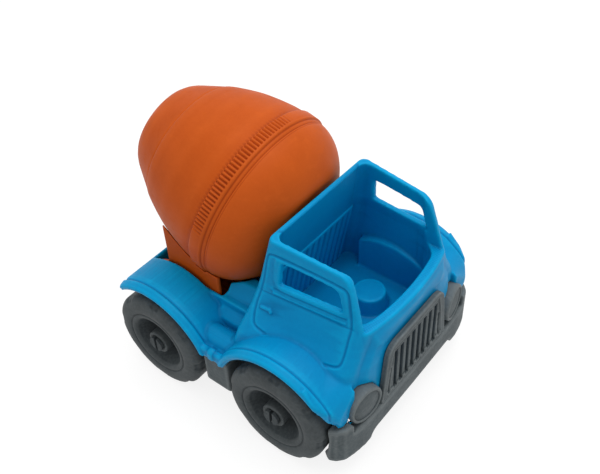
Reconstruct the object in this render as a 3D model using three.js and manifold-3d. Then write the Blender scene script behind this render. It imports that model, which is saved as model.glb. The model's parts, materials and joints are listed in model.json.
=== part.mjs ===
// A concrete mixer truck, a child's moulded plastic toy: an open-topped blue
// body on a grey chassis, four grey wheels on snap-in axles, and an orange
// drum that spins in a cradle, which tips up about pins at its rear.
//
// Millimetres. +X is forward, +Y is the truck's left, +Z is up. While the
// pieces are made, x = 0 is the rear axle; the last lines slide the whole
// truck along X so that the origin is under the middle of its outer box.

import * as THREE from "three";
import { mergeVertices } from "three/addons/utils/BufferGeometryUtils.js";
import Module from "manifold-3d";

const wasm = await Module();
wasm.setup();

// ---------------------------------------------------------------- sizes

// Overall layout
const wheelbase = 100;
const wheelFaceHalfTrack = 84.5; // from the middle plane to a wheel's outer face
const seatGap = 0.3; // between pieces that touch
const spinGap = 0.5; // between pieces that turn on each other
const cutSlack = 1; // a cut runs this far past the faces it opens
const farOut = 300; // beyond the truck on any side

// Wheels
const tyreRadius = 36.4;
const tyreWidth = 28;
const tyreShoulder = 5.5;
const tyreShoulderInset = 0.8;
const tyreBackBevel = [3, 4]; // radial, axial
const dishRadius = 21;
const dishLip = [[-1.5, 2.2], [1, 0.4], [3.5, 0]]; // past the dish's radius, behind the face
const dishFloorRadius = 11.5;
const dishDepth = 13;
const hubRadius = 8.2;
const hubRecess = 1.5;
const wheelSegments = 48;

// Axles
const axleRadius = 4.6;
const axleSnapRadius = 5.6;
const axleSnapLength = 2.2;
const axleSlotWidth = 2.2;
const axleSlotDepth = 9;

// Wheel arches and fenders
const archGap = 6.6; // from the tyre's tread to the arch
const fenderWall = 5.5;
const fenderEdgeDrop = 2; // the fender's outer edge rolls down this much
const fenderEdgeBand = 8;
const fenderHalf = 83;
const archInnerHalf = 53;

// Body heights and ends
const bodyBottomZ = tyreRadius + 3.6;
const bodyRear = 27.5; // behind the rear axle
const fenderFront = 43.5; // ahead of the front axle
const fenderFrontBottomZ = bodyBottomZ + 6;
const fenderFrontInnerHalf = 64.2; // beside the headlights
const stepZ = bodyBottomZ + 19.5;
const stepThickness = 7;
const stepHalf = 81.5;
const troughFloorZ = bodyBottomZ + 17;
const rearDeckZ = bodyBottomZ + 37;

// Cab shell, placed from the front axle
const cabRearTopX = wheelbase - 25;
const cabRearLean = 0.206; // the rear wall leans this much per unit of height
const cabFrontX = wheelbase + 41;
const cabRimZ = bodyBottomZ + 104;
const cabRimDrop = 5; // the rim falls this much from the rear wall to the pillars
const cabTaper = 0.12; // the sides close in by this share from the rear wall to the front
const cabWall = 3.6;
const cabFloorZ = bodyBottomZ + 12;
const roomHalf = 50; // inside half width of the cab below its sills
const wellProud = 3; // the wheel wells stand this far into the cab
// Half width of the cab's side at each height above the body's bottom edge: a
// flared skirt, then an inward lean up to the rim
const cabSkirtHalf = 70;
const cabSillHalf = 53;
const cabRimHalf = 48;
const cabSides = [
  [0, cabSkirtHalf],
  [30, cabSkirtHalf - 0.5],
  [37, cabSkirtHalf - 2.5],
  [42.5, cabSillHalf + 10.7],
  [48, cabSillHalf + 7],
  [54, cabSillHalf + 4],
  [64, cabSillHalf],
  [72, cabSillHalf - 1.8],
  [cabRimZ - bodyBottomZ, cabRimHalf],
].map(([rise, half]) => [bodyBottomZ + rise, half]);

// Side window openings, seen from the side: bottom edge, top edge, fore and aft ends
const windowBottomZ = cabRimZ - 34;
const windowTopZ = cabRimZ - 12;
const windowRearX = cabRearTopX + 9;
const windowRearLean = 1.5;
const windowFrontBottomX = wheelbase + 29;
const windowFrontTopX = wheelbase + 21.5;
const windowCorner = 4;

// Windscreen pillars and cowl
const pillarTopX = wheelbase + 28;
const pillarBaseX = wheelbase + 39;
const pillarTopRadius = 9;
const cowlZ = bodyBottomZ + 62;
const cowlOpeningX = wheelbase + 34;
const cowlCorner = 14;
const screenBottomHalf = 42.5;
const screenTopHalf = 38;

// Nose
const noseRearX = wheelbase + 4;
const noseFrontX = wheelbase + 45.5;
const noseCorner = 24;
const hoodFrontZ = bodyBottomZ + 48;
const hoodFrontRadius = 9;

// Hip blocks behind the cab, beside the drum
const hipLength = 38.5; // behind the top of the cab's rear wall
const hipTopZ = bodyBottomZ + 46;
const hipTopInnerHalf = 34;
const hipTopHalf = 41;
const hipSideHalf = 59;
const hipSideZ = bodyBottomZ + 26;

// Half-round tanks on the steps
const tankRadius = 7.5;
const tankHalfTrack = 68.5;
const tankHalfLength = 13;
const tankAhead = -1; // of the middle of the wheelbase

// A round boss on the cab's floor, left of the middle
const bossRadius = 13.5;
const bossTopRadius = 11;
const bossHeight = 12;
const bossAhead = 2; // of the front axle
const bossHalfTrack = 18;

// Grey front: grille, headlights, bumper
const grilleBottomHalf = 37.5;
const grilleTopHalf = 31;
const grilleTopZ = bodyBottomZ + 43.5;
const grilleProud = 4.2; // ahead of the nose
const grilleCorner = 10;
const slotCount = 8;
const slotWidth = 3;
const slotPitch = 6.5;
const slotBottomZ = bodyBottomZ;
const slotTopZ = bodyBottomZ + 35.5;
const slotDepth = 3.6;
const headlightRadius = 13;
const headlightHalfTrack = 51.5;
const headlightZ = bodyBottomZ + 11;
const headlightProud = 4.5;
const headlightSeat = 6; // into the nose
const headlightBevel = 1.8;
const bumperProud = 5; // ahead of the nose
const bumperSweep = 12.5; // from the bumper's middle back to its ends
const bumperHalf = 78;
const bumperTopZ = headlightZ - headlightRadius - seatGap;
const bumperEndTopZ = fenderFrontBottomZ - seatGap;
const bumperBottomZ = 21;
const bumperEndBottomZ = 16;
const bumperEndLength = 22;
const bumperThickness = 9;

// Chassis pan and side boxes
const panHalf = 50;
const panUnderAxle = 4.5; // of pan left below the axles' slots
const panBottomZ = tyreRadius - axleRadius - seatGap - panUnderAxle;
const panTopZ = bodyBottomZ - seatGap;
const panInset = 3; // ahead of the body's rear face
const sideBoxRoom = 3.1; // from a tyre to a side box
const sideBoxHalf = 79.5;
const sideBoxBottomZ = 19.5;
const sideBoxBevel = [5, 6];

// Drum: its axis climbs towards the rear from the middle of the belt's front edge
const drumX = cabRearTopX - 43.6;
const drumZ = bodyBottomZ + 81.5;
const drumTilt = THREE.MathUtils.degToRad(17.2);
const beltRadius = 60.6;
const beltWidth = 9;
const beltProud = 1.2;
const bulbLength = 40;
const bulbRadius = beltRadius - beltProud;
const drumFrontCut = 32; // the flat front cap, ahead of the belt
const drumMouth = 84; // the rear mouth, behind the belt's front edge
const drumMouthRadius = 28.5;
// The taper behind the belt: how far in from the bulb, how far short of the mouth
const drumTaper = [[0.8, 66], [2.7, 56], [5.1, 46], [8.7, 36], [12.2, 28], [16.8, 20], [21.4, 12], [24.8, 6], [27.8, 2]];
const drumWall = 2.6;
const drumPinRadius = 5;
const drumPinLength = 4.6;
const drumSegments = 44;

// Cradle
const cradleHalf = 50.5;
const cradleWall = 3;
const cradleFloorZ = troughFloorZ + seatGap;
const cradleFrontX = drumX + 0.6;
const cradleFrontTopZ = bodyBottomZ + 49;
const hingeX = 9.5 - bodyRear;
const hingeZ = bodyBottomZ + 30;
const hingePinRadius = 3;
const hingePinLength = 3.5;
const hingeEar = 5; // of cradle round the hinge
const cradleRearX = hingeX + 5;
const cradleRearTopZ = bodyBottomZ + 72;
const cradlePostHalf = 11;
const cradlePostThickness = 3;
const cradleFootInset = 6;

// ------------------------------------------------------------ materials

const bluePlastic = new THREE.MeshStandardMaterial({ color: 0x0080bd, roughness: 0.45, metalness: 0 });
const greyPlastic = new THREE.MeshStandardMaterial({ color: 0x565b5e, roughness: 0.55, metalness: 0 });
const orangePlastic = new THREE.MeshStandardMaterial({ color: 0xc8581f, roughness: 0.5, metalness: 0 });

// -------------------------------------------------------------- helpers

function solidOf(geometry) {
  const bare = geometry.clone();
  bare.deleteAttribute("normal");
  bare.deleteAttribute("uv");
  const merged = mergeVertices(bare, 1e-4);
  return new wasm.Manifold(
    new wasm.Mesh({
      numProp: 3,
      vertProperties: new Float32Array(merged.attributes.position.array),
      triVerts: new Uint32Array(merged.index.array),
    }),
  );
}

function meshOf(name, solid, material) {
  const { vertProperties, triVerts } = solid.getMesh();
  const geometry = new THREE.BufferGeometry();
  geometry.setAttribute("position", new THREE.BufferAttribute(vertProperties, 3));
  geometry.setIndex(new THREE.BufferAttribute(triVerts, 1));
  geometry.computeVertexNormals();
  const mesh = new THREE.Mesh(geometry, material);
  mesh.name = name;
  return mesh;
}

function union(solids) {
  return solids.reduce((sum, solid) => sum.add(solid));
}

function outlineOf(points) {
  return new THREE.Shape(points.map(([a, b]) => new THREE.Vector2(a, b)));
}

// A closed outline whose corners are rounded: points are [a, b, radius]
function roundedOutline(points, steps = 4) {
  const outline = [];
  points.forEach(([a, b, radius = 0], index) => {
    const corner = new THREE.Vector2(a, b);
    const [pa, pb] = points[(index + points.length - 1) % points.length];
    const [na, nb] = points[(index + 1) % points.length];
    const before = new THREE.Vector2(pa, pb).sub(corner).normalize();
    const after = new THREE.Vector2(na, nb).sub(corner).normalize();
    if (radius === 0) {
      outline.push([a, b]);
      return;
    }
    const half = Math.acos(THREE.MathUtils.clamp(before.dot(after), -1, 1)) / 2;
    const reach = radius / Math.tan(half);
    const start = corner.clone().addScaledVector(before, reach);
    const end = corner.clone().addScaledVector(after, reach);
    const bisector = before.clone().add(after).normalize();
    const centre = corner.clone().addScaledVector(bisector, radius / Math.sin(half));
    const from = start.sub(centre);
    const to = end.sub(centre);
    const sweep = Math.atan2(from.cross(to), from.dot(to));
    for (let step = 0; step <= steps; step += 1) {
      const point = from.clone().rotateAround(new THREE.Vector2(), (sweep * step) / steps).add(centre);
      outline.push([point.x, point.y]);
    }
  });
  return outlineOf(outline);
}

function extrude(shape, depth) {
  return new THREE.ExtrudeGeometry(shape, { depth, bevelEnabled: false, curveSegments: 12 });
}

// An outline in (x, z), carried along Y
function alongY(shape, fromY, toY) {
  return solidOf(extrude(shape, toY - fromY).rotateX(Math.PI / 2).translate(0, toY, 0));
}

// An outline in (y, z), carried along X
function alongX(shape, fromX, toX) {
  const turn = new THREE.Matrix4().makeBasis(
    new THREE.Vector3(0, 1, 0),
    new THREE.Vector3(0, 0, 1),
    new THREE.Vector3(1, 0, 0),
  );
  return solidOf(extrude(shape, toX - fromX).applyMatrix4(turn).translate(fromX, 0, 0));
}

// An outline in (x, y), carried along Z
function alongZ(shape, fromZ, toZ) {
  return solidOf(extrude(shape, toZ - fromZ).translate(0, 0, fromZ));
}

function block(fromX, toX, fromY, toY, fromZ, toZ) {
  const box = new THREE.BoxGeometry(toX - fromX, toY - fromY, toZ - fromZ);
  return solidOf(box.translate((fromX + toX) / 2, (fromY + toY) / 2, (fromZ + toZ) / 2));
}

// A cylinder along Y
function rodY(x, z, radius, fromY, toY, segments = 32) {
  const rod = new THREE.CylinderGeometry(radius, radius, toY - fromY, segments);
  return solidOf(rod.translate(x, (fromY + toY) / 2, z));
}

// A cylinder along X
function rodX(y, z, radius, fromX, toX, segments = 32) {
  const rod = new THREE.CylinderGeometry(radius, radius, toX - fromX, segments).rotateZ(Math.PI / 2);
  return solidOf(rod.translate((fromX + toX) / 2, y, z));
}

// A profile of [radius, height] points turned about Z
function turned(profile, segments) {
  return solidOf(new THREE.LatheGeometry(profile.map(([r, h]) => new THREE.Vector2(r, h)), segments).rotateX(Math.PI / 2));
}

function mirrorY(solid) {
  return solid.mirror([0, 1, 0]);
}

// A solid and its mirror image across the middle plane
function bothSides(solid) {
  return solid.add(mirrorY(solid));
}

// A skin over closed rings of points, all with the same count, capped at both ends
function skin(rings) {
  const count = rings[0].length;
  const positions = rings.flat(2);
  const faces = [];
  rings.slice(1).forEach((_, ring) => {
    for (let index = 0; index < count; index += 1) {
      const a = ring * count + index;
      const b = ring * count + ((index + 1) % count);
      faces.push(a, b, b + count, a, b + count, a + count);
    }
  });
  const flat = rings[0].map(([x, y]) => new THREE.Vector2(x, y));
  const top = (rings.length - 1) * count;
  THREE.ShapeUtils.triangulateShape(flat, []).forEach(([a, b, c]) => {
    faces.push(c, b, a, top + a, top + b, top + c);
  });
  const geometry = new THREE.BufferGeometry();
  geometry.setAttribute("position", new THREE.BufferAttribute(new Float32Array(positions), 3));
  geometry.setIndex(faces);
  return solidOf(geometry);
}

// A rounded rectangle in plan at one height, counter-clockwise from above
function planRing(rearX, frontX, half, rearCorner, frontCorner, z, steps = 5) {
  const ring = [];
  const corners = [
    [frontX - frontCorner, half - frontCorner, frontCorner, 0],
    [rearX + rearCorner, half - rearCorner, rearCorner, 1],
    [rearX + rearCorner, -half + rearCorner, rearCorner, 2],
    [frontX - frontCorner, -half + frontCorner, frontCorner, 3],
  ];
  corners.forEach(([x, y, radius, quarter]) => {
    for (let step = 0; step <= steps; step += 1) {
      const angle = ((quarter + step / steps) * Math.PI) / 2;
      ring.push([x + radius * Math.cos(angle), y + radius * Math.sin(angle), z]);
    }
  });
  return ring;
}

// --------------------------------------------------------------- wheels

const axleX = [0, wheelbase];
const wheelInnerHalf = wheelFaceHalfTrack - tyreWidth;

// One moulding: tyre, dished rim and hub, bored for the axle. Its profile is
// [radius, distance inwards from the outer face].
function makeWheel(name, x, side) {
  const bore = axleRadius + spinGap;
  const rim = [
    [bore, hubRecess],
    [hubRadius, hubRecess],
    [hubRadius, dishDepth],
    [dishFloorRadius, dishDepth],
    ...dishLip.map(([past, depth]) => [dishRadius + past, depth]),
  ];
  const shoulder = [];
  const steps = 5;
  for (let step = 0; step <= steps; step += 1) {
    const angle = (step / steps) * (Math.PI / 2);
    shoulder.push([
      tyreRadius - tyreShoulder + tyreShoulder * Math.sin(angle),
      tyreShoulderInset + tyreShoulder - tyreShoulder * Math.cos(angle),
    ]);
  }
  const back = [
    [tyreRadius, tyreWidth - tyreBackBevel[1]],
    [tyreRadius - tyreBackBevel[0], tyreWidth],
    [bore, tyreWidth],
    [bore, hubRecess],
  ];
  const profile = [...rim, ...shoulder, ...back];
  const wheel = turned(profile.map(([r, depth]) => [r, -depth]).reverse(), wheelSegments);
  const facing = side > 0 ? wheel.rotate([-90, 0, 0]) : wheel.rotate([90, 0, 0]);
  return meshOf(name, facing.translate([x, side * wheelFaceHalfTrack, tyreRadius]), greyPlastic);
}

// An axle through two wheels; each end is a split snap head in the hub
function makeAxle(name, x) {
  const end = wheelFaceHalfTrack + axleSnapLength - hubRecess;
  const bar = rodY(x, tyreRadius, axleRadius, -end, end);
  const head = rodY(x, tyreRadius, axleSnapRadius, end - axleSnapLength + seatGap, end);
  const slot = block(
    x - axleSlotWidth / 2,
    x + axleSlotWidth / 2,
    end - axleSlotDepth,
    end + cutSlack,
    tyreRadius - axleSnapRadius - cutSlack,
    tyreRadius + axleSnapRadius + cutSlack,
  );
  return meshOf(name, bar.add(bothSides(head)).subtract(bothSides(slot)), greyPlastic);
}

// ----------------------------------------------------------------- drum

// Places a solid turned about Z, whose +Z is the drum's axis towards the
// rear and whose z = 0 is the belt's front edge
function onDrumAxis(solid) {
  return solid.rotate([0, -90 + THREE.MathUtils.radToDeg(drumTilt), 0]).translate([drumX, 0, drumZ]);
}

// The drum's outside, as [radius, distance behind the belt's front edge]
function drumOutline() {
  const outline = [];
  const steps = 6;
  const start = Math.asin(drumFrontCut / bulbLength);
  for (let step = 0; step <= steps; step += 1) {
    const angle = start * (1 - step / steps);
    outline.push([bulbRadius * Math.cos(angle), -bulbLength * Math.sin(angle)]);
  }
  outline.push([beltRadius, 0], [beltRadius, beltWidth], [bulbRadius, beltWidth]);
  const taperSteps = 12;
  const taper = new THREE.SplineCurve([
    new THREE.Vector2(bulbRadius, beltWidth),
    ...drumTaper.map(([inwards, short]) => new THREE.Vector2(bulbRadius - inwards, drumMouth - short)),
    new THREE.Vector2(drumMouthRadius, drumMouth),
  ]);
  taper.getPoints(taperSteps).slice(1).forEach((point) => outline.push([point.x, point.y]));
  return outline;
}

// A solid drum, bigger all round by a running gap, to cut its neighbours with
function drumShell(grow) {
  const outside = drumOutline().map(([r, w]) => {
    const besideBelt = w === 0 || w === beltWidth;
    const away = w === 0 ? -grow : grow;
    return [r + grow, besideBelt ? w + away : w];
  });
  const frontW = -drumFrontCut - grow;
  const rearW = drumMouth + grow;
  return turned([[0, frontW], [outside[0][0], frontW], ...outside, [0, rearW]], drumSegments);
}

function makeDrum() {
  const outline = drumOutline();
  const inside = outline
    .filter(([r, w]) => r !== beltRadius)
    .map(([r, w]) => [r - drumWall, Math.max(w, -drumFrontCut + drumWall)]);
  const [frontRadius] = outline[0];
  const profile = [
    [0, -drumFrontCut - drumPinLength],
    [drumPinRadius, -drumFrontCut - drumPinLength],
    [drumPinRadius, -drumFrontCut],
    [frontRadius, -drumFrontCut],
    ...outline.slice(1),
    ...inside.slice(1).reverse(),
    [0, -drumFrontCut + drumWall],
  ];
  return meshOf("drum", onDrumAxis(turned(profile, drumSegments)), orangePlastic);
}

// --------------------------------------------------------------- cradle

// The cradle's side seen along Y: low at the front, an upright at the rear
function cradleSide(fromY, toY) {
  const frontBevel = [4, 8];
  const shelf = [14, 3]; // the top falls this much over its front end
  const uprightWidth = 6;
  const side = roundedOutline([
    [hingeX - hingeEar, hingeZ - hingeEar, 4],
    [cradleFrontX - frontBevel[0], cradleFloorZ],
    [cradleFrontX, cradleFloorZ + frontBevel[1], 3],
    [cradleFrontX, cradleFrontTopZ, 1.5],
    [cradleFrontX - shelf[0], cradleFrontTopZ + shelf[1], 2],
    [cradleRearX + uprightWidth, cradleRearTopZ, 2],
    [cradleRearX, cradleRearTopZ, 1],
    [cradleRearX, hingeZ + 9, 4],
    [hingeX - hingeEar, hingeZ + hingeEar, 4],
  ]);
  return alongY(side, fromY, toY);
}

function makeCradle() {
  const inner = cradleHalf - cradleWall;
  const overlap = inner + cutSlack;
  const floorFrontX = cradleFrontX - cradleFootInset;
  const floorTopZ = cradleFloorZ + cradleWall;
  const sides = bothSides(cradleSide(inner, cradleHalf));
  const floor = block(cradleRearX, floorFrontX, -overlap, overlap, cradleFloorZ, floorTopZ);
  const yoke = block(cradleRearX, cradleRearX + cradleWall, -overlap, overlap, cradleFloorZ, cradleRearTopZ);

  // The post stands square to the drum's axis, just ahead of the front cap, on
  // a foot that runs out from the floor
  const postFront = drumFrontCut + spinGap + cradlePostThickness;
  const drop = drumZ - cradleFloorZ;
  const postFootX = drumX + (postFront - drop * Math.sin(drumTilt)) / Math.cos(drumTilt);
  const foot = block(floorFrontX - cutSlack, postFootX + 4, -cradlePostHalf, cradlePostHalf, cradleFloorZ, floorTopZ);
  const postTop = drumPinRadius + 5;
  const post = alongX(
    roundedOutline([
      [-cradlePostHalf, -drop],
      [cradlePostHalf, -drop],
      [cradlePostHalf, postTop, 8],
      [-cradlePostHalf, postTop, 8],
    ]),
    0,
    cradlePostThickness,
  )
    .translate([drumFrontCut + spinGap, 0, 0])
    .rotate([0, THREE.MathUtils.radToDeg(drumTilt), 0])
    .translate([drumX, 0, drumZ]);
  const belowFloor = block(-farOut, farOut, -farOut, farOut, -farOut, cradleFloorZ);
  const boreEnds = [-drumFrontCut - 20, -drumFrontCut + cutSlack];
  const boreRadius = drumPinRadius + seatGap;
  const bore = onDrumAxis(
    turned([[0, boreEnds[0]], [boreRadius, boreEnds[0]], [boreRadius, boreEnds[1]], [0, boreEnds[1]]], drumSegments),
  );
  const pins = bothSides(rodY(hingeX, hingeZ, hingePinRadius, inner, cradleHalf + hingePinLength, 24));
  const cradle = union([sides, floor, foot, yoke, post])
    .subtract(onDrumAxis(drumShell(spinGap)))
    .subtract(belowFloor)
    .subtract(bore)
    .add(pins);
  return meshOf("drum_cradle", cradle, orangePlastic);
}

// ----------------------------------------------------------------- body

const archRadius = tyreRadius + archGap;
const fenderRadius = archRadius + fenderWall;
const fenderInnerHalf = archInnerHalf - seatGap; // the fenders start just inside the bays
const fenderFrontX = wheelbase + fenderFront;
const bodyRearX = -bodyRear;
const midX = wheelbase / 2;
const sideBoxHalfLength = midX - tyreRadius - sideBoxRoom;
const headlightBackX = noseFrontX - headlightSeat;

function cabRearAt(z) {
  return cabRearTopX - (cabRimZ - z) * cabRearLean;
}

// Draws a ring's sides in towards the front, as the cab narrows
function taperedRing(ring) {
  return ring.map(([x, y, z]) => [
    x,
    y * (1 - (cabTaper * (x - cabRearTopX)) / (pillarBaseX - cabRearTopX)),
    z,
  ]);
}

// The cab's walls with its rim, pillars and hood in outline
function cabShell() {
  const cabBlock = skin(
    cabSides.map(([z, half]) => taperedRing(planRing(cabRearAt(z), cabFrontX, half, 5, 8, z))),
  );
  const cabOutline = alongY(
    roundedOutline([
      [cabRearAt(bodyBottomZ) - cutSlack, bodyBottomZ],
      [cabFrontX, bodyBottomZ],
      [cabFrontX, cowlZ],
      [pillarBaseX, cowlZ],
      [pillarTopX, cabRimZ - cabRimDrop, pillarTopRadius],
      [cabRearTopX - cutSlack, cabRimZ, 2],
    ]),
    -farOut,
    farOut,
  );
  const noseBlock = skin(
    cabSides
      .filter(([z]) => z <= cowlZ + 2)
      .map(([z, half]) => taperedRing(planRing(noseRearX, noseFrontX, half, 2, noseCorner, z))),
  );
  const hoodOutline = alongY(
    roundedOutline([
      [noseRearX, bodyBottomZ],
      [noseFrontX, bodyBottomZ],
      [noseFrontX, hoodFrontZ, hoodFrontRadius],
      [pillarBaseX + 1, cowlZ, 4],
      [noseRearX, cowlZ],
    ]),
    -farOut,
    farOut,
  );
  return cabBlock.intersect(cabOutline).add(noseBlock.intersect(hoodOutline));
}

// The room inside the cab, open above, in front and at the side windows
function cabOpenings() {
  const aboveRim = cabRimZ + 5;
  const walls = cabSides
    .filter(([z]) => z > cabFloorZ + 1)
    .map(([z, half]) => [z, Math.min(half - cabWall, roomHalf)]);
  const room = skin(
    [[cabFloorZ, roomHalf], ...walls, [aboveRim, cabRimHalf - cabWall]].map(([z, half]) =>
      taperedRing(planRing(cabRearAt(z) + cabWall, cowlOpeningX, half, 6, cowlCorner, z)),
    ),
  );
  const screen = alongX(
    roundedOutline([
      [-screenBottomHalf, cowlZ],
      [screenBottomHalf, cowlZ],
      [screenTopHalf, aboveRim],
      [-screenTopHalf, aboveRim],
    ]),
    cowlOpeningX - cowlCorner,
    noseFrontX,
  );
  const windows = alongY(
    roundedOutline([
      [windowRearX - windowRearLean, windowBottomZ, windowCorner],
      [windowFrontBottomX, windowBottomZ, windowCorner],
      [windowFrontTopX, windowTopZ, windowCorner],
      [windowRearX, windowTopZ, windowCorner],
    ]),
    -farOut,
    farOut,
  );
  return union([room, screen, windows]);
}

// Fenders turned about each axle, flat inboard and rolled over at the edge; the
// front ones run down from their crowns to the bumper's ends
function fenders() {
  const edgeStart = fenderHalf - fenderEdgeBand;
  const disc = turned(
    [
      [0, fenderInnerHalf - edgeStart],
      [fenderRadius, fenderInnerHalf - edgeStart],
      [fenderRadius, 0],
      [fenderRadius - fenderEdgeDrop * 0.3, fenderEdgeBand / 2],
      [fenderRadius - fenderEdgeDrop, fenderEdgeBand],
      [0, fenderEdgeBand],
    ],
    72,
  )
    .rotate([-90, 0, 0])
    .translate([0, edgeStart, 0]);
  const crownAngle = Math.PI / 3; // above the front axle, where the straight run starts
  const slope = alongY(
    outlineOf([
      [wheelbase + 20, fenderFrontBottomZ],
      [fenderFrontX, fenderFrontBottomZ],
      [fenderFrontX - 0.5, fenderFrontBottomZ + 13],
      [wheelbase + fenderRadius * Math.cos(crownAngle), tyreRadius + fenderRadius * Math.sin(crownAngle)],
    ]),
    fenderInnerHalf,
    fenderHalf,
  );
  const ahead = block(fenderFrontX, farOut, -farOut, farOut, -farOut, farOut);
  return bothSides(union([...axleX.map((x) => disc.translate([x, 0, tyreRadius])), slope]).subtract(ahead));
}

function makeBody() {
  const step = block(midX - 20, midX + 20, fenderInnerHalf - 4, stepHalf, stepZ - stepThickness, stepZ);
  const tankMidX = midX + tankAhead;
  const tank = rodX(tankHalfTrack, stepZ, tankRadius, tankMidX - tankHalfLength, tankMidX + tankHalfLength, 24);

  // Middle of the body: the tub that carries the cradle, and the hips beside the drum
  const tubHalf = archInnerHalf + cutSlack / 2;
  const tub = block(bodyRearX, cabRearTopX - 5, -tubHalf, tubHalf, bodyBottomZ, rearDeckZ);
  const hipRearX = cabRearTopX - hipLength;
  const hip = alongX(
    outlineOf([
      [hipTopInnerHalf, bodyBottomZ],
      [hipSideHalf, bodyBottomZ],
      [hipSideHalf, hipSideZ],
      [hipTopHalf, hipTopZ],
      [hipTopInnerHalf, hipTopZ],
    ]),
    hipRearX,
    cabRearTopX + 5,
  );
  const whole = union([cabShell(), fenders(), bothSides(union([step, tank, hip])), tub]);

  // The turned fenders stop at the body's rear and bottom, and the front ones
  // higher and with a rounded corner, over the bumper's ends
  const behind = block(-farOut, bodyRearX, -farOut, farOut, -farOut, farOut);
  const below = block(-farOut, farOut, -farOut, farOut, -farOut, bodyBottomZ);
  const overBumper = bothSides(
    block(wheelbase + 12, farOut, fenderFrontInnerHalf, farOut, -farOut, fenderFrontBottomZ),
  );
  const fenderCorner = bothSides(
    alongZ(
      outlineOf([
        [fenderFrontX, fenderHalf - 13],
        [fenderFrontX + 8, fenderHalf - 13],
        [fenderFrontX + 8, fenderHalf + 5],
        [fenderFrontX - 12, fenderHalf + 5],
        [fenderFrontX - 12, fenderHalf],
        [fenderFrontX - 5, fenderHalf - 4],
      ]),
      0,
      cowlZ,
    ),
  );

  // Wheel bays, axle slots from below, room for the chassis's side boxes and
  // sockets for the headlights
  const bays = axleX.map((x) =>
    bothSides(rodY(x, tyreRadius, archRadius, archInnerHalf, fenderHalf + cutSlack, 64)),
  );
  const axleSlots = axleX.map((x) =>
    block(x - axleRadius - seatGap, x + axleRadius + seatGap, -farOut, farOut, 0, tyreRadius + axleRadius + seatGap),
  );
  const boxRoomHalf = sideBoxHalfLength + seatGap;
  const boxRoom = bothSides(
    block(midX - boxRoomHalf, midX + boxRoomHalf, panHalf - cutSlack - seatGap, farOut, 0, stepZ - stepThickness),
  );
  const lampSockets = bothSides(
    rodX(headlightHalfTrack, headlightZ, headlightRadius + seatGap, headlightBackX - seatGap, noseFrontX + cutSlack, 36),
  );

  // The trough for the cradle, with the holes for its pins, and the drum's room
  const troughHalf = cradleHalf + seatGap * 2;
  const trough = union([
    block(hingeX - hingeEar - 2, hipRearX - 1, -troughHalf, troughHalf, troughFloorZ, farOut),
    block(hipRearX - 2, cabRearAt(troughFloorZ) - 1, -hipTopInnerHalf, hipTopInnerHalf, troughFloorZ, hipTopZ + cutSlack),
  ]);
  const pinHoles = bothSides(
    rodY(hingeX, hingeZ, hingePinRadius + seatGap, troughHalf - cutSlack, troughHalf + hingePinLength + cutSlack, 24),
  );
  const drumRoom = onDrumAxis(drumShell(2));
  const rearDip = rodX(0, drumZ + 4.5, beltRadius + 1.4, bodyRearX - cutSlack, hingeX, 48);

  const shell = [
    behind, below, overBumper, fenderCorner, ...bays, ...axleSlots, boxRoom, lampSockets,
    trough, pinHoles, drumRoom, rearDip, cabOpenings(),
  ].reduce((rest, cut) => rest.subtract(cut), whole);

  // The front wheel wells show inside the cab as arched bulges, beside a round boss
  const wellInner = roomHalf - wellProud - cabWall;
  const wells = bothSides(
    rodY(wheelbase, tyreRadius, archRadius + cabWall, wellInner, archInnerHalf, 48).intersect(
      block(cabRearTopX, cowlOpeningX + 2, 0, archInnerHalf, cabFloorZ - cutSlack, cabRimZ),
    ),
  );
  const boss = solidOf(
    new THREE.CylinderGeometry(bossTopRadius, bossRadius, bossHeight + cutSlack, 32)
      .rotateX(Math.PI / 2)
      .translate(wheelbase + bossAhead, bossHalfTrack, cabFloorZ + (bossHeight - cutSlack) / 2),
  );
  return meshOf("body", union([shell, wells, boss]).subtract(union(bays)), bluePlastic);
}

// ------------------------------------------------------------ grey front

function makeGrille() {
  const backX = noseFrontX + seatGap;
  const frontX = noseFrontX + grilleProud;
  const surround = alongX(
    roundedOutline([
      [-grilleBottomHalf, bumperTopZ + seatGap],
      [grilleBottomHalf, bumperTopZ + seatGap],
      [grilleTopHalf, grilleTopZ, grilleCorner],
      [-grilleTopHalf, grilleTopZ, grilleCorner],
    ]),
    backX,
    frontX,
  );
  const slots = Array.from({ length: slotCount }, (_, index) => {
    const y = (index - (slotCount - 1) / 2) * slotPitch;
    return block(frontX - slotDepth, frontX + cutSlack, y - slotWidth / 2, y + slotWidth / 2, slotBottomZ, slotTopZ);
  });
  return meshOf("grille", surround.subtract(union(slots)), greyPlastic);
}

function makeHeadlight(name, side) {
  const y = side * headlightHalfTrack;
  const frontX = noseFrontX + headlightProud;
  const body = rodX(y, headlightZ, headlightRadius, headlightBackX, frontX - headlightBevel, 36);
  const lens = rodX(y, headlightZ, headlightRadius - headlightBevel, frontX - headlightBevel * 1.5, frontX, 36);
  return meshOf(name, body.add(lens), greyPlastic);
}

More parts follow.
